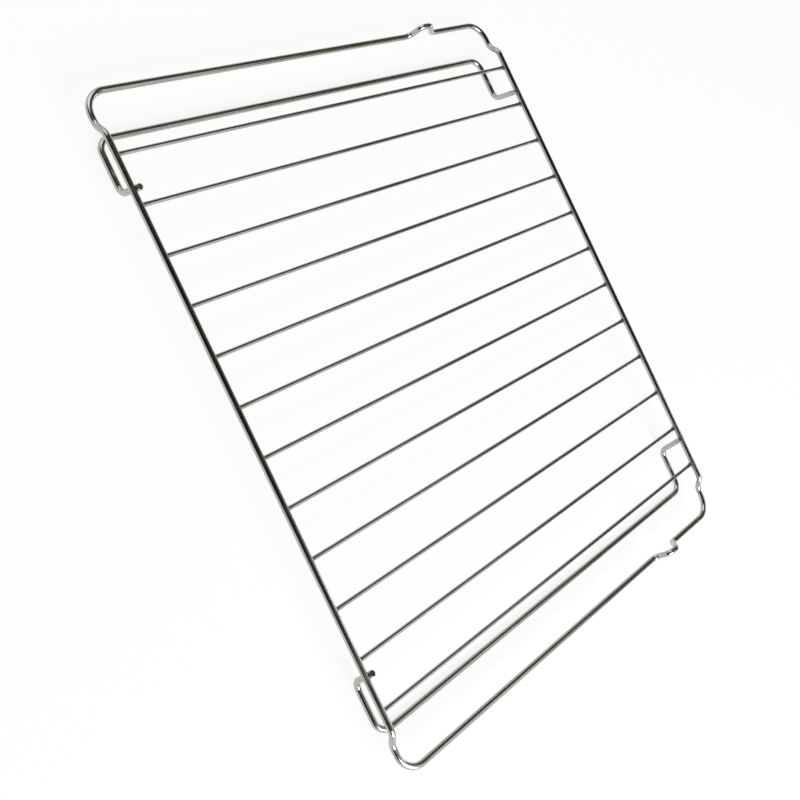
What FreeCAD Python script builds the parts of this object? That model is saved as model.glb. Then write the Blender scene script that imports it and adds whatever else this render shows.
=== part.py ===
import FreeCAD, Part
import math
import os

import Sketcher

# Oven shelf rack, in millimetres.
# A closed outer frame of thick wire carries thin cross wires between its front and rear rails.
# A bent foot wire under each end lifts the rack off a table and is welded to the inside of both rails.
# X runs along the rails, Y from the front rail to the rear rail, Z up from the table under the feet.

Vector = FreeCAD.Vector

SIZES = {
    # Overall, measured over the wires
    "rack_width": 466.0,
    "rack_depth": 385.0,
    # Wire diameters
    "frame_gauge": 4.5,
    "cross_gauge": 3.0,
    "foot_gauge": 4.5,
    # Cross wires: their number, and the side edge's line to the outermost wire's line
    "cross_count": 12,
    "grid_inset": 43.2,
    # Depth by which a cross wire sinks up into the rail, and the rail's line back to the wire's cut end
    "cross_weld_depth": 1.5,
    "cross_end_inset": 1.0,
    # Metal squeezed out round the wire's end by the weld: growth of the radius, and its length
    "flare_growth": 0.7,
    "flare_length": 2.2,
    # Foot wires: line of the cross wires down to the foot, and the side edge's line in to the foot bar
    "foot_drop": 19.0,
    "foot_inset": 25.0,
    "foot_corner_radius": 9.5,
    # Legs: second cross wire out to the leg's tip, lean from foot to tip, tip above the rail's line
    "leg_offset": 9.8,
    "leg_lean": 5.5,
    "leg_rise": 2.5,
    "leg_bend_radius": 7.0,
    "leg_weld_depth": 0.4,
    # Outer frame: drop from the rails to the side edges, and its bends
    "side_drop": 6.5,
    "corner_radius": 15.0,
    "joggle_gap": 6.3,
    "joggle_run": 8.0,
    "joggle_radius": 9.0,
    # Stop humps: rear rail's line to the top's middle, height, length of the top, steep front and long rear
    "hump_setback": 79.0,
    "hump_height": 13.0,
    "hump_crest": 9.5,
    "hump_front_run": 4.0,
    "hump_rear_run": 13.0,
    "hump_foot_radius": 6.0,
    "hump_crest_radius": 5.5,
}

doc = FreeCAD.newDocument("oven_shelf_rack")
sheet = doc.addObject("Spreadsheet::Sheet", "sizes")
for row, (alias, value) in enumerate(SIZES.items(), start=1):
    sheet.set(f"A{row}", alias)
    sheet.set(f"B{row}", str(value))
    sheet.setAlias(f"B{row}", alias)
doc.recompute()

# Places that the wires share, as formulas of the sheet and as the numbers that they give
RAIL_Y = "(sizes.rack_depth - sizes.frame_gauge) / 2"
RIM_RISE = "(sizes.frame_gauge + sizes.cross_gauge) / 2 - sizes.cross_weld_depth"
GRID_Z = "sizes.foot_gauge / 2 + sizes.foot_drop"
GRID_X = "((sizes.rack_width - sizes.frame_gauge) / 2 - sizes.grid_inset)"

rail_y = (sheet.rack_depth - sheet.frame_gauge) / 2
rim_rise = (sheet.frame_gauge + sheet.cross_gauge) / 2 - sheet.cross_weld_depth
side_x = (sheet.rack_width - sheet.frame_gauge) / 2
foot_z = sheet.foot_gauge / 2
grid_z = foot_z + sheet.foot_drop
rail_z = grid_z + rim_rise
side_z = rail_z - sheet.side_drop
cross_count = int(sheet.cross_count)
cross_pitch = 2 * (side_x - sheet.grid_inset) / (cross_count - 1)


def bent_line(name, corners, radii):
    """The centre line of a bent wire: straight runs between corners, each bend a tangent arc."""
    edges = []
    run_start = corners[0]
    for before, corner, after, radius in zip(corners, corners[1:], corners[2:], radii):
        back = (before - corner).normalize()
        ahead = (after - corner).normalize()
        half_turn = (math.pi - back.getAngle(ahead)) / 2
        reach = radius * math.tan(half_turn)
        bend_start = corner + back * reach
        bend_end = corner + ahead * reach
        bend_middle = corner + (back + ahead).normalize() * (radius / math.cos(half_turn) - radius)
        edges.append(Part.LineSegment(run_start, bend_start).toShape())
        edges.append(Part.Arc(bend_start, bend_middle, bend_end).toShape())
        run_start = bend_end
    edges.append(Part.LineSegment(run_start, corners[-1]).toShape())
    line = doc.addObject("Part::Feature", name)
    line.Shape = Part.Wire(edges)
    return line


def origin_plane(body, role):
    """One of the body's own origin planes."""
    return [feature for feature in body.Origin.OriginFeatures if feature.Role == role][0]


def new_sketch(body, name, plane_role):
    """An empty sketch on one of the body's own origin planes."""
    sketch = body.newObject("Sketcher::SketchObject", name)
    sketch.AttachmentSupport = [(origin_plane(body, plane_role), "")]
    sketch.MapMode = "FlatFace"
    return sketch


def bind(sketch, constraint, formula):
    """Adds a dimension to the sketch and ties it to a formula of the sheet."""
    index = sketch.addConstraint(constraint)
    sketch.setExpression(f"Constraints[{index}]", formula)


def add_circle(sketch, across, up, diameter, across_formula, up_formula, diameter_formula):
    """A circle whose middle and diameter are tied to the sheet; across may lie on either side."""
    circle = sketch.addGeometry(Part.Circle(Vector(across, up, 0), Vector(0, 0, 1), diameter / 2))
    from_middle = (circle, 3, -1, 1)
    from_origin = (-1, 1, circle, 3)
    ends = from_origin if across > 0 else from_middle
    bind(sketch, Sketcher.Constraint("DistanceX", *ends, abs(across)), across_formula)
    bind(sketch, Sketcher.Constraint("DistanceY", *from_origin, up), up_formula)
    bind(sketch, Sketcher.Constraint("Diameter", circle, diameter), diameter_formula)


def add_pipe(body, name, section, line):
    """Wire of the given section, bent along the line."""
    pipe = body.newObject("PartDesign::AdditivePipe", name)
    pipe.Profile = section
    pipe.Spine = (line, [f"Edge{number}" for number in range(1, len(line.Shape.Edges) + 1)])
    return pipe


def cut_rail_saddles(body, name, rail_height, rail_height_formula):
    """Takes the two rails' room out of a wire that is welded to them, so that faces meet."""
    sketch = new_sketch(body, f"{name}_rails", "YZ_Plane")
    for across in (-rail_y, rail_y):
        add_circle(
            sketch, across, rail_height, sheet.frame_gauge,
            RAIL_Y, rail_height_formula, "sizes.frame_gauge")
    saddles = body.newObject("PartDesign::Pocket", f"{name}_saddles")
    saddles.Profile = sketch
    saddles.Type = "ThroughAll"
    saddles.SideType = "Symmetric"


# Outer frame: one wire bent into a ring and closed by a butt weld.
# The rails lie high as a rim, drop by a joggle at each end, and run on as the lower side edges.
# Each side edge has a hump near the rear, whose steep front stops the rack when it is pulled out.
hump_y = rail_y - sheet.hump_setback
hump_z = side_z + sheet.hump_height
crest_front = hump_y - sheet.hump_crest / 2
crest_rear = hump_y + sheet.hump_crest / 2
joggle_foot_x = side_x - sheet.corner_radius - sheet.joggle_gap
joggle_head_x = joggle_foot_x - sheet.joggle_run

right_half = [
    Vector(joggle_head_x, -rail_y, rail_z),
    Vector(joggle_foot_x, -rail_y, side_z),
    Vector(side_x, -rail_y, side_z),
    Vector(side_x, crest_front - sheet.hump_front_run, side_z),
    Vector(side_x, crest_front, hump_z),
    Vector(side_x, crest_rear, hump_z),
    Vector(side_x, crest_rear + sheet.hump_rear_run, side_z),
    Vector(side_x, rail_y, side_z),
    Vector(joggle_foot_x, rail_y, side_z),
    Vector(joggle_head_x, rail_y, rail_z),
]
right_radii = [
    sheet.joggle_radius,
    sheet.joggle_radius,
    sheet.corner_radius,
    sheet.hump_foot_radius,
    sheet.hump_crest_radius,
    sheet.hump_crest_radius,
    sheet.hump_foot_radius,
    sheet.corner_radius,
    sheet.joggle_radius,
    sheet.joggle_radius,
]
left_half = [Vector(-corner.x, corner.y, corner.z) for corner in reversed(right_half)]
front_middle = Vector(0, -rail_y, rail_z)
frame_corners = [front_middle] + right_half + left_half + [front_middle]
frame_line = bent_line("frame_line", frame_corners, right_radii + right_radii[::-1])

outer_frame = doc.addObject("PartDesign::Body", "outer_frame")
frame_section = new_sketch(outer_frame, "frame_section", "YZ_Plane")
add_circle(
    frame_section, -rail_y, rail_z, sheet.frame_gauge, RAIL_Y, f"{GRID_Z} + {RIM_RISE}", "sizes.frame_gauge")
add_pipe(outer_frame, "frame_bend", frame_section, frame_line)


# Cross wires: straight thin wires, cut to length and welded up under the inner side of both rails.
# The weld squeezes each end out into a small flare.
def cross_wire(name, number):
    body = doc.addObject("PartDesign::Body", name)
    radius = sheet.cross_gauge / 2
    half_length = rail_y - sheet.cross_end_inset
    growth = sheet.flare_growth
    plain_end = half_length - sheet.flare_length
    flare_radius = (growth**2 + sheet.flare_length**2) / (2 * growth)
    flare_middle = radius + flare_radius
    flare_angle = math.atan2(sheet.flare_length, growth - flare_radius)

    section = new_sketch(body, f"{name}_section", "XY_Plane")
    axis = section.addGeometry(Part.LineSegment(Vector(0, -half_length, 0), Vector(0, half_length, 0)))
    rear_end = section.addGeometry(
        Part.LineSegment(Vector(0, half_length, 0), Vector(radius + growth, half_length, 0)))
    rear_circle = Part.Circle(Vector(flare_middle, plain_end, 0), Vector(0, 0, 1), flare_radius)
    rear_flare = section.addGeometry(Part.ArcOfCircle(rear_circle, flare_angle, math.pi))
    side = section.addGeometry(Part.LineSegment(Vector(radius, plain_end, 0), Vector(radius, -plain_end, 0)))
    front_circle = Part.Circle(Vector(flare_middle, -plain_end, 0), Vector(0, 0, 1), flare_radius)
    front_flare = section.addGeometry(Part.ArcOfCircle(front_circle, math.pi, 2 * math.pi - flare_angle))
    front_end = section.addGeometry(
        Part.LineSegment(Vector(radius + growth, -half_length, 0), Vector(0, -half_length, 0)))

    section.addConstraint(Sketcher.Constraint("Coincident", axis, 2, rear_end, 1))
    section.addConstraint(Sketcher.Constraint("Coincident", rear_end, 2, rear_flare, 1))
    section.addConstraint(Sketcher.Constraint("Tangent", rear_flare, 2, side, 1))
    section.addConstraint(Sketcher.Constraint("Tangent", side, 2, front_flare, 1))
    section.addConstraint(Sketcher.Constraint("Coincident", front_flare, 2, front_end, 1))
    section.addConstraint(Sketcher.Constraint("Coincident", front_end, 2, axis, 1))
    section.addConstraint(Sketcher.Constraint("Symmetric", axis, 1, axis, 2, -1, 1))
    section.addConstraint(Sketcher.Constraint("Vertical", axis))
    section.addConstraint(Sketcher.Constraint("Vertical", side))
    section.addConstraint(Sketcher.Constraint("Horizontal", rear_end))
    section.addConstraint(Sketcher.Constraint("Horizontal", front_end))
    section.addConstraint(Sketcher.Constraint("Equal", rear_end, front_end))
    section.addConstraint(Sketcher.Constraint("Equal", rear_flare, front_flare))
    bind(
        section, Sketcher.Constraint("DistanceY", axis, 1, axis, 2, 2 * half_length),
        f"2 * ({RAIL_Y} - sizes.cross_end_inset)")
    bind(
        section, Sketcher.Constraint("DistanceX", axis, 2, side, 1, radius),
        "sizes.cross_gauge / 2")
    bind(
        section, Sketcher.Constraint("DistanceX", rear_end, 1, rear_end, 2, radius + growth),
        "sizes.cross_gauge / 2 + sizes.flare_growth")
    bind(
        section, Sketcher.Constraint("DistanceY", side, 1, rear_flare, 1, sheet.flare_length),
        "sizes.flare_length")

    wire = body.newObject("PartDesign::Revolution", f"{name}_wire")
    wire.Profile = section
    wire.ReferenceAxis = (section, ["V_Axis"])
    wire.Angle = 360
    cut_rail_saddles(body, name, rim_rise, RIM_RISE)
    body.setExpression("Placement.Base.x", f"{GRID_X} * (2 * {number} / (sizes.cross_count - 1) - 1)")
    body.setExpression("Placement.Base.z", GRID_Z)
    return body


cross_wires = [cross_wire(f"cross_wire_{number + 1:02d}", number) for number in range(cross_count)]

# Foot wires: a bar lies on the table along each end, and turns in at its corners to run under the rails.
# From there a leg leans up to the inside of the rail and is welded to it, with its cut tip beside the rail.
foot_x = side_x - sheet.foot_inset
foot_y = rail_y - (sheet.frame_gauge + sheet.foot_gauge) / 2 + sheet.leg_weld_depth
tip_x = side_x - sheet.grid_inset - cross_pitch + sheet.leg_offset
leg_x = tip_x + sheet.leg_lean

foot_corners = [
    Vector(foot_x, 0, foot_z),
    Vector(foot_x, foot_y, foot_z),
    Vector(leg_x, foot_y, foot_z),
    Vector(tip_x, foot_y, rail_z + sheet.leg_rise),
]
foot_line = bent_line("foot_line", foot_corners, [sheet.foot_corner_radius, sheet.leg_bend_radius])


def foot_wire(name, turn):
    body = doc.addObject("PartDesign::Body", name)
    section = new_sketch(body, f"{name}_section", "XZ_Plane")
    add_circle(
        section, foot_x, foot_z, sheet.foot_gauge,
        "(sizes.rack_width - sizes.frame_gauge) / 2 - sizes.foot_inset",
        "sizes.foot_gauge / 2", "sizes.foot_gauge")
    rear_half = add_pipe(body, f"{name}_rear_half", section, foot_line)
    doc.recompute()
    both_halves = body.newObject("PartDesign::Mirrored", f"{name}_both_halves")
    both_halves.Originals = [rear_half]
    both_halves.MirrorPlane = (origin_plane(body, "XZ_Plane"), [""])
    body.Tip = both_halves
    doc.recompute()
    cut_rail_saddles(body, name, rail_z, f"{GRID_Z} + {RIM_RISE}")
    body.Placement = FreeCAD.Placement(Vector(0, 0, 0), FreeCAD.Rotation(Vector(0, 0, 1), turn))
    return body


foot_wires = [foot_wire("foot_wire_right", 0), foot_wire("foot_wire_left", 180)]

# Each wire goes to its own file
doc.recompute()
for feature in doc.Objects:
    if "Invalid" in feature.State or "Error" in feature.State:
        raise RuntimeError(f"{feature.Label} failed: {feature.State}")
subparts = [outer_frame] + cross_wires + foot_wires
for body in subparts:
    if body.Shape.isNull() or not body.Shape.isValid() or len(body.Shape.Solids) != 1:
        raise RuntimeError(f"{body.Label} is not one valid solid")
os.makedirs("parts", exist_ok=True)
for body in subparts:
    body.Shape.exportStep(f"parts/{body.Label}.step")
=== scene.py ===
import math

import bmesh
import bpy
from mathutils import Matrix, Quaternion, Vector, kdtree


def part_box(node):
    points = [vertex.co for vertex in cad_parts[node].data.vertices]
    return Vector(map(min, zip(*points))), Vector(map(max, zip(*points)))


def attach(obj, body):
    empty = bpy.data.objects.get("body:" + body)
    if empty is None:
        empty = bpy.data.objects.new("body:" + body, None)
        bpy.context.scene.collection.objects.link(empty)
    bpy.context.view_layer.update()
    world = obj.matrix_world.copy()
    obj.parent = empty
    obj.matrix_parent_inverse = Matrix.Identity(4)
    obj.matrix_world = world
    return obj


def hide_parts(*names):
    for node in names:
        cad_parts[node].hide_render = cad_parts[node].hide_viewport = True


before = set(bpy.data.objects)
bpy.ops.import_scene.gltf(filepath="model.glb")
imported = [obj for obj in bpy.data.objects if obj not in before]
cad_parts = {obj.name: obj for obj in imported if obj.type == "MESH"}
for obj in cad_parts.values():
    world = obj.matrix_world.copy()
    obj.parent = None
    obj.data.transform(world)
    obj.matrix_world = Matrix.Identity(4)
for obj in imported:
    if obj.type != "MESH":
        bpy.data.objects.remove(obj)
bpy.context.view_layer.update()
scene = bpy.context.scene

# Outer frame: one thick drawn steel wire, bent cold into a closed ring, welded shut and then plated.
# Its rails stand high as a rim, drop by a joggle at each end and run on as the lower side edges.
# Each side edge rises into a stop hump near the rear, with a steep front and a long rear slope.
FRAME_RADIUS = 0.00225
FRAME_SIDES = 28
SIDE_DROP = 0.0065
CORNER_RADIUS = 0.015
JOGGLE_GAP = 0.0063
JOGGLE_RUN = 0.008
JOGGLE_RADIUS = 0.009
HUMP_SETBACK = 0.079
HUMP_CREST = 0.0095
HUMP_FRONT_RUN = 0.004
HUMP_REAR_RUN = 0.013
HUMP_FOOT_RADIUS = 0.006
HUMP_CREST_RADIUS = 0.0055
FLARE_RADIUS = 0.0022

CROSS_WIRES = sorted(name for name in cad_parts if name.startswith("cross_wire"))

frame_low, frame_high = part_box("outer_frame")
side_x = frame_high.x - FRAME_RADIUS
rail_y = frame_high.y - FRAME_RADIUS
side_z = frame_low.z + FRAME_RADIUS
rail_z = side_z + SIDE_DROP
hump_z = frame_high.z - FRAME_RADIUS
hump_y = rail_y - HUMP_SETBACK
grid_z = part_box(CROSS_WIRES[0])[0].z + FLARE_RADIUS
wire_places = [sum(corner.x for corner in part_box(name)) / 2 for name in CROSS_WIRES]

UP = Vector((0, 0, 1))
RUN_STEP = 0.003
BEND_STEPS = 12
WELD_REACH = 0.0045


def straight_run(start, end, radius):
    """Places along a straight piece of wire, each with its heading and the wire's radius."""
    steps = max(1, round((end - start).length / RUN_STEP))
    heading = (end - start).normalized()
    return [(start.lerp(end, step / steps), heading, radius) for step in range(steps + 1)]


def bent_wire(corners, bend_radii, radius):
    """Places along a wire that runs from corner to corner, with a round bend at each inner one."""
    line = []
    start = corners[0]
    for before, corner, after, bend in zip(corners, corners[1:], corners[2:], bend_radii):
        arriving = (corner - before).normalized()
        leaving = (after - corner).normalized()
        turn = arriving.angle(leaving)
        reach = bend * math.tan(turn / 2)
        bend_start = corner - arriving * reach
        line += straight_run(start, bend_start, radius)
        middle = bend_start + (leaving - arriving * arriving.dot(leaving)).normalized() * bend
        for step in range(1, BEND_STEPS):
            swing = Quaternion(arriving.cross(leaving), turn * step / BEND_STEPS)
            line.append((middle + swing @ (bend_start - middle), swing @ arriving, radius))
        start = corner + leaving * reach
    return line + straight_run(start, corners[-1], radius)


def drawn_wire(name, line, sides, closed, welds):
    """A round wire along a line of places, with its grain and the nearness of its welds as attributes."""
    shell = bmesh.new()
    grain = shell.loops.layers.float_vector.new("grain")
    angles = [math.tau * number / sides for number in range(sides)]
    rings = []
    lengths = [0.0]
    for place, heading, radius in line:
        side = heading.cross(UP).normalized()
        top = side.cross(heading)
        rings.append([
            shell.verts.new(place + (side * math.cos(angle) + top * math.sin(angle)) * radius)
            for angle in angles])
    for (place, _, _), (following, _, _) in zip(line, line[1:] + line[:1]):
        lengths.append(lengths[-1] + (following - place).length)
    spans = len(rings) if closed else len(rings) - 1
    for span in range(spans):
        first = rings[span]
        second = rings[(span + 1) % len(rings)]
        for number in range(sides):
            after = (number + 1) % sides
            face = shell.faces.new((first[number], first[after], second[after], second[number]))
            face.smooth = True
            marks = ((span, number), (span, after), (span + 1, after), (span + 1, number))
            for loop, (ring, turn) in zip(face.loops, marks):
                loop[grain] = (lengths[ring], math.cos(angles[turn]), math.sin(angles[turn]))
    if not closed:
        shell.faces.new(rings[0])
        shell.faces.new(rings[-1])
    bmesh.ops.recalc_face_normals(shell, faces=shell.faces)

    mesh = bpy.data.meshes.new(name)
    shell.to_mesh(mesh)
    shell.free()
    weld_tree = kdtree.KDTree(len(welds))
    for number, place in enumerate(welds):
        weld_tree.insert(place, number)
    weld_tree.balance()
    nearness = mesh.attributes.new("weld_nearness", "FLOAT", "POINT")
    for vertex in mesh.vertices:
        distance = weld_tree.find(vertex.co)[2]
        nearness.data[vertex.index].value = math.exp(-(distance / WELD_REACH) ** 2)
    piece = bpy.data.objects.new(name, mesh)
    scene.collection.objects.link(piece)
    return piece


CLOUD_SCALE = 70.0
LINE_STRETCH = (14.0, 5.0, 5.0)
NOISE_LOW = 0.3
NOISE_HIGH = 0.7
DEEP_PLATING = (0.41, 0.41, 0.39, 1.0)
PALE_PLATING = (0.48, 0.48, 0.46, 1.0)
# Painted shade: a darker plating colour for the crevices near the welds, where the wires meet.
WELD_PAINTED_SHADE = (0.26, 0.26, 0.245, 1.0)
BRIGHT_ROUGHNESS = 0.13
LINED_ROUGHNESS = 0.24
WELD_DULLING = 0.18
LINE_STRENGTH = 0.15
LINE_DEPTH = 0.0001


def bright_plating():
    """Bright plating on drawn wire: fine lines along the wire, cloudy tone, a duller gloss at the welds, and
    painted shade that darkens the colour near the welds, where the wires meet.
    """
    material = bpy.data.materials.new("bright_plating")
    material.use_nodes = True
    nodes = material.node_tree.nodes
    links = material.node_tree.links
    metal = nodes["Principled BSDF"]
    metal.inputs["Metallic"].default_value = 1.0

    place = nodes.new("ShaderNodeTexCoord")
    cloud = nodes.new("ShaderNodeTexNoise")
    cloud.inputs["Scale"].default_value = CLOUD_SCALE
    cloud.inputs["Detail"].default_value = 5.0
    links.new(place.outputs["Object"], cloud.inputs["Vector"])

    grain = nodes.new("ShaderNodeAttribute")
    grain.attribute_name = "grain"
    stretch = nodes.new("ShaderNodeMapping")
    stretch.inputs["Scale"].default_value = LINE_STRETCH
    links.new(grain.outputs["Vector"], stretch.inputs["Vector"])
    lines = nodes.new("ShaderNodeTexNoise")
    lines.inputs["Scale"].default_value = 1.0
    lines.inputs["Detail"].default_value = 4.0
    links.new(stretch.outputs["Vector"], lines.inputs["Vector"])

    tone = nodes.new("ShaderNodeValToRGB")
    tone.color_ramp.elements[0].position = NOISE_LOW
    tone.color_ramp.elements[0].color = DEEP_PLATING
    tone.color_ramp.elements[1].position = NOISE_HIGH
    tone.color_ramp.elements[1].color = PALE_PLATING
    links.new(cloud.outputs["Fac"], tone.inputs["Fac"])

    weld = nodes.new("ShaderNodeAttribute")
    weld.attribute_name = "weld_nearness"
    # Painted shade: the plating colour is mixed towards the darker tone near the welds.
    weld_painted_shade = nodes.new("ShaderNodeMix")
    weld_painted_shade.data_type = "RGBA"
    weld_painted_shade.inputs["B"].default_value = WELD_PAINTED_SHADE
    links.new(weld.outputs["Fac"], weld_painted_shade.inputs["Factor"])
    links.new(tone.outputs["Color"], weld_painted_shade.inputs["A"])
    links.new(weld_painted_shade.outputs["Result"], metal.inputs["Base Color"])

    gloss = nodes.new("ShaderNodeMapRange")
    gloss.inputs["From Min"].default_value = NOISE_LOW
    gloss.inputs["From Max"].default_value = NOISE_HIGH
    gloss.inputs["To Min"].default_value = BRIGHT_ROUGHNESS
    gloss.inputs["To Max"].default_value = LINED_ROUGHNESS
    links.new(lines.outputs["Fac"], gloss.inputs["Value"])
    dull = nodes.new("ShaderNodeMath")
    dull.operation = "MULTIPLY_ADD"
    dull.inputs[1].default_value = WELD_DULLING
    links.new(weld.outputs["Fac"], dull.inputs[0])
    links.new(gloss.outputs["Result"], dull.inputs[2])
    links.new(dull.outputs["Value"], metal.inputs["Roughness"])

    bump = nodes.new("ShaderNodeBump")
    bump.inputs["Strength"].default_value = LINE_STRENGTH
    bump.inputs["Distance"].default_value = LINE_DEPTH
    links.new(lines.outputs["Fac"], bump.inputs["Height"])
    links.new(bump.outputs["Normal"], metal.inputs["Normal"])
    return material


crest_front = hump_y - HUMP_CREST / 2
crest_rear = hump_y + HUMP_CREST / 2
joggle_foot_x = side_x - CORNER_RADIUS - JOGGLE_GAP
joggle_head_x = joggle_foot_x - JOGGLE_RUN
right_half = [
    Vector((joggle_head_x, -rail_y, rail_z)),
    Vector((joggle_foot_x, -rail_y, side_z)),
    Vector((side_x, -rail_y, side_z)),
    Vector((side_x, crest_front - HUMP_FRONT_RUN, side_z)),
    Vector((side_x, crest_front, hump_z)),
    Vector((side_x, crest_rear, hump_z)),
    Vector((side_x, crest_rear + HUMP_REAR_RUN, side_z)),
    Vector((side_x, rail_y, side_z)),
    Vector((joggle_foot_x, rail_y, side_z)),
    Vector((joggle_head_x, rail_y, rail_z)),
]
right_bends = [
    JOGGLE_RADIUS, JOGGLE_RADIUS, CORNER_RADIUS,
    HUMP_FOOT_RADIUS, HUMP_CREST_RADIUS, HUMP_CREST_RADIUS, HUMP_FOOT_RADIUS,
    CORNER_RADIUS, JOGGLE_RADIUS, JOGGLE_RADIUS,
]
left_half = [Vector((-corner.x, corner.y, corner.z)) for corner in reversed(right_half)]
front_middle = Vector((0, -rail_y, rail_z))
ring_corners = [front_middle] + right_half + left_half + [front_middle]
ring_line = bent_wire(ring_corners, right_bends + right_bends[::-1], FRAME_RADIUS)[:-1]

rail_inner_y = rail_y - FRAME_RADIUS
leg_weld_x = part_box("foot_wire_right")[0].x + FRAME_RADIUS
weld_ends = (-rail_inner_y, rail_inner_y)
welds = [Vector((x, y, grid_z)) for x in wire_places for y in weld_ends]
welds += [Vector((x, y, rail_z)) for x in (-leg_weld_x, leg_weld_x) for y in weld_ends]

plating = bright_plating()
ring = drawn_wire("frame_ring", ring_line, FRAME_SIDES, True, welds)
ring.data.materials.append(plating)
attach(ring, "root")
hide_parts("outer_frame")

# Cross wires: twelve straight thin steel wires, cut to length and resistance-welded to the rails,
# on their inner, lower side. The weld squeezes the hot end of each wire out into a small collar.
CROSS_RADIUS = 0.0015
CROSS_SIDES = 20
FLARE_LENGTH = 0.0022
FLARE_STEPS = 6
TO_REAR = Vector((0, 1, 0))

flare = []
for step in range(1, FLARE_STEPS + 1):
    share = step / FLARE_STEPS
    flare.append((FLARE_LENGTH * share, CROSS_RADIUS + (FLARE_RADIUS - CROSS_RADIUS) * share**2))

for name, x in zip(CROSS_WIRES, wire_places):
    plain_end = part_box(name)[1].y - FLARE_LENGTH
    plain = straight_run(Vector((x, -plain_end, grid_z)), Vector((x, plain_end, grid_z)), CROSS_RADIUS)
    front = [(Vector((x, -plain_end - reach, grid_z)), TO_REAR, radius) for reach, radius in reversed(flare)]
    rear = [(Vector((x, plain_end + reach, grid_z)), TO_REAR, radius) for reach, radius in flare]
    wire = drawn_wire(f"{name}_drawn", front + plain + rear, CROSS_SIDES, False, welds)
    wire.data.materials.append(plating)
    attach(wire, "root")
    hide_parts(name)

# Foot wires: one thick bent steel wire under each end, lying on the table.
# Each turns in at its corners, and its legs lean up to the inside of the rails, where they are welded.
# The sheared tips of the legs stand a little above the weld.
FOOT_RADIUS = 0.00225
FOOT_SIDES = 28
FOOT_CORNER_RADIUS = 0.0095
LEG_BEND_RADIUS = 0.007
LEG_LEAN = 0.0055
LEG_RISE = 0.0025
TIP_ROUNDING = 0.0005
TIP_STEPS = 4

rounding = []
for step in range(TIP_STEPS + 1):
    angle = math.pi / 2 * step / TIP_STEPS
    tip_radius = FOOT_RADIUS - TIP_ROUNDING * (1 - math.cos(angle))
    rounding.append((TIP_ROUNDING * (1 - math.sin(angle)), tip_radius))

for name, side in (("foot_wire_left", -1), ("foot_wire_right", 1)):
    foot_low, foot_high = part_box(name)
    inner_x, outer_x = sorted((abs(foot_low.x), abs(foot_high.x)))
    foot_x = outer_x - FOOT_RADIUS
    foot_y = foot_high.y - FOOT_RADIUS
    foot_z = foot_low.z + FOOT_RADIUS
    tip_z = rail_z + LEG_RISE
    tip_x = inner_x + FOOT_RADIUS * math.cos(math.atan2(LEG_LEAN, tip_z - foot_z))
    leg_x = tip_x + LEG_LEAN
    corners = [
        Vector((side * tip_x, -foot_y, tip_z)),
        Vector((side * leg_x, -foot_y, foot_z)),
        Vector((side * foot_x, -foot_y, foot_z)),
        Vector((side * foot_x, foot_y, foot_z)),
        Vector((side * leg_x, foot_y, foot_z)),
        Vector((side * tip_x, foot_y, tip_z)),
    ]
    bends = [LEG_BEND_RADIUS, FOOT_CORNER_RADIUS, FOOT_CORNER_RADIUS, LEG_BEND_RADIUS]
    line = bent_wire(corners, bends, FOOT_RADIUS)
    (front_end, falling, _), (rear_end, rising, _) = line[0], line[-1]
    front_tip = [(front_end + falling * back, falling, radius) for back, radius in reversed(rounding)]
    rear_tip = [(rear_end - rising * back, rising, radius) for back, radius in rounding]
    wire = drawn_wire(f"{name}_drawn", front_tip + line[1:-1] + rear_tip, FOOT_SIDES, False, welds)
    wire.data.materials.append(plating)
    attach(wire, "root")
    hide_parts(name)

# Studio: a pale paper floor that curves up into a low round wall, with a soft box on each side, dim
# panels at the right, at the rear and overhead, and a room that is darkest in front of the rack.
# The camera stands above the front rail, rolled so that the rails run down the picture.
COVE_RADIUS = 5.0
COVE_HEIGHT = 1.3
COVE_BEND = 0.8
COVE_STEPS = 10
COVE_SIDES = 96
FLOOR_Z = -0.0001

cove_profile = []
for step in range(COVE_STEPS + 1):
    angle = math.pi / 2 * step / COVE_STEPS
    cove_profile.append((
        COVE_RADIUS - COVE_BEND * (1 - math.sin(angle)),
        FLOOR_Z + COVE_BEND * (1 - math.cos(angle))))
cove_profile.append((COVE_RADIUS, COVE_HEIGHT))
cove_turns = [math.tau * number / COVE_SIDES for number in range(COVE_SIDES)]
cove = bmesh.new()
hub = cove.verts.new((0, 0, FLOOR_Z))
rims = []
for radius, height in cove_profile:
    rims.append([
        cove.verts.new((radius * math.cos(turn), radius * math.sin(turn), height))
        for turn in cove_turns])
for number in range(COVE_SIDES):
    after = (number + 1) % COVE_SIDES
    cove.faces.new((hub, rims[0][number], rims[0][after]))
    for inner, outer in zip(rims, rims[1:]):
        face = cove.faces.new((inner[number], outer[number], outer[after], inner[after]))
        face.smooth = True
cove_mesh = bpy.data.meshes.new("studio_cove")
cove.to_mesh(cove_mesh)
cove.free()
floor = bpy.data.objects.new("studio_cove", cove_mesh)
scene.collection.objects.link(floor)

PAPER_TONE = (0.9, 0.9, 0.9, 1.0)
BACKGROUND_WHITE = (1.0, 1.0, 1.0, 1.0)
BACKGROUND_SHARE = 0.88

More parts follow.
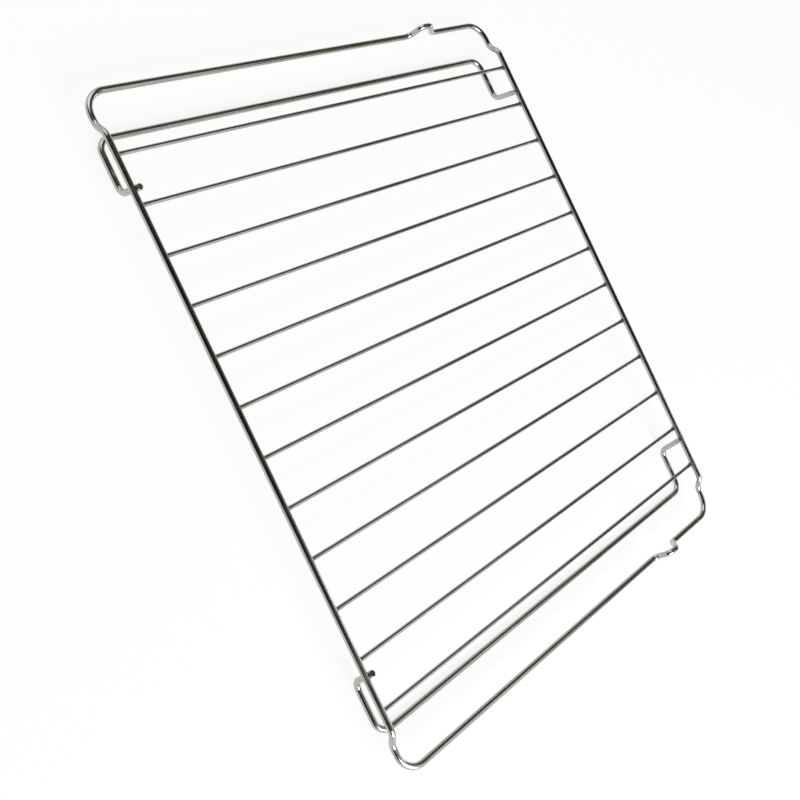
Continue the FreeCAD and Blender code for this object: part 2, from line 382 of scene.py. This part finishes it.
paper = bpy.data.materials.new("white_paper")
paper.use_nodes = True
nodes = paper.node_tree.nodes
links = paper.node_tree.links
nodes.clear()
matte = nodes.new("ShaderNodeBsdfDiffuse")
matte.inputs["Color"].default_value = PAPER_TONE
glow = nodes.new("ShaderNodeEmission")
glow.inputs["Color"].default_value = BACKGROUND_WHITE
glow.inputs["Strength"].default_value = 1.0
ray = nodes.new("ShaderNodeLightPath")
seen = nodes.new("ShaderNodeMath")
seen.operation = "ADD"
links.new(ray.outputs["Is Camera Ray"], seen.inputs[0])
links.new(ray.outputs["Is Glossy Ray"], seen.inputs[1])
seen_all = nodes.new("ShaderNodeMath")
seen_all.operation = "ADD"
links.new(seen.outputs["Value"], seen_all.inputs[0])
links.new(ray.outputs["Is Transmission Ray"], seen_all.inputs[1])
glow_share = nodes.new("ShaderNodeMath")
glow_share.operation = "MULTIPLY"
glow_share.use_clamp = True
glow_share.inputs[1].default_value = BACKGROUND_SHARE
links.new(seen_all.outputs["Value"], glow_share.inputs[0])
both = nodes.new("ShaderNodeMixShader")
links.new(glow_share.outputs["Value"], both.inputs["Fac"])
links.new(matte.outputs["BSDF"], both.inputs[1])
links.new(glow.outputs["Emission"], both.inputs[2])
output = nodes.new("ShaderNodeOutputMaterial")
links.new(both.outputs["Shader"], output.inputs["Surface"])
floor.data.materials.append(paper)

FRONT_ROOM = (0.006, 0.006, 0.004, 1.0)
REAR_ROOM = (0.085, 0.086, 0.057, 1.0)

world = bpy.data.worlds.new("dim_studio")
world.use_nodes = True
nodes = world.node_tree.nodes
links = world.node_tree.links
direction = nodes.new("ShaderNodeTexCoord")
axes = nodes.new("ShaderNodeSeparateXYZ")
links.new(direction.outputs["Generated"], axes.inputs["Vector"])
room = nodes.new("ShaderNodeMapRange")
room.inputs["From Min"].default_value = 0.1
room.inputs["From Max"].default_value = 0.5
links.new(axes.outputs["Y"], room.inputs["Value"])
dim = nodes.new("ShaderNodeValToRGB")
dim.color_ramp.elements[0].color = FRONT_ROOM
dim.color_ramp.elements[1].color = REAR_ROOM
links.new(room.outputs["Result"], dim.inputs["Fac"])
links.new(dim.outputs["Color"], nodes["Background"].inputs["Color"])
scene.world = world

RACK_MIDDLE = (0, 0, 0)


def soft_lamp(name, place, aim, width, height, watts):
    """A rectangular soft box at a place, facing a point."""
    light = bpy.data.lights.new(name, "AREA")
    light.shape = "RECTANGLE"
    light.size = width
    light.size_y = height
    light.energy = watts
    lamp = bpy.data.objects.new(name, light)
    lamp.location = place
    lamp.rotation_euler = (Vector(aim) - Vector(place)).to_track_quat("-Z", "Y").to_euler()
    scene.collection.objects.link(lamp)


soft_lamp("left_soft_box", place=(-1.9, -0.3, 1.5), aim=RACK_MIDDLE, width=1.8, height=1.8, watts=18)
soft_lamp("right_soft_box", place=(1.9, -0.3, 1.5), aim=RACK_MIDDLE, width=1.4, height=1.4, watts=80)
soft_lamp("right_panel", place=(1.9, 0.6, 0.9), aim=RACK_MIDDLE, width=1.8, height=1.7, watts=5.5)
soft_lamp("rear_panel", place=(0.75, 2.2, 0.6), aim=RACK_MIDDLE, width=0.6, height=0.8, watts=4)
soft_lamp("ceiling_panel", place=(0.95, 1.1, 1.6), aim=(0.95, 1.1, 0), width=1.2, height=0.7, watts=2.7)

CAMERA_PLACE = Vector((-0.0049, -0.4925, 0.5353))
CAMERA_AIM = Vector((0.0027, -0.0693, 0.02125))
CAMERA_ROLL = math.radians(65.37)
FOCAL_PIXELS = 971.3
PICTURE_PIXELS = 800
AXIS_PIXEL = (388.1, 371.7)
SENSOR_WIDTH = 36.0
NEAR_LIMIT = 0.01

camera_data = bpy.data.cameras.new("camera")
camera_data.sensor_width = SENSOR_WIDTH
camera_data.lens = FOCAL_PIXELS / PICTURE_PIXELS * SENSOR_WIDTH
camera_data.shift_x = 0.5 - AXIS_PIXEL[0] / PICTURE_PIXELS
camera_data.shift_y = AXIS_PIXEL[1] / PICTURE_PIXELS - 0.5
camera_data.clip_start = NEAR_LIMIT
camera = bpy.data.objects.new("camera", camera_data)
camera.location = CAMERA_PLACE
level_view = (CAMERA_AIM - CAMERA_PLACE).to_track_quat("-Z", "Y")
camera.rotation_euler = (level_view @ Quaternion((0, 0, 1), CAMERA_ROLL)).to_euler()
scene.collection.objects.link(camera)
scene.camera = camera
scene.view_settings.view_transform = "Standard"
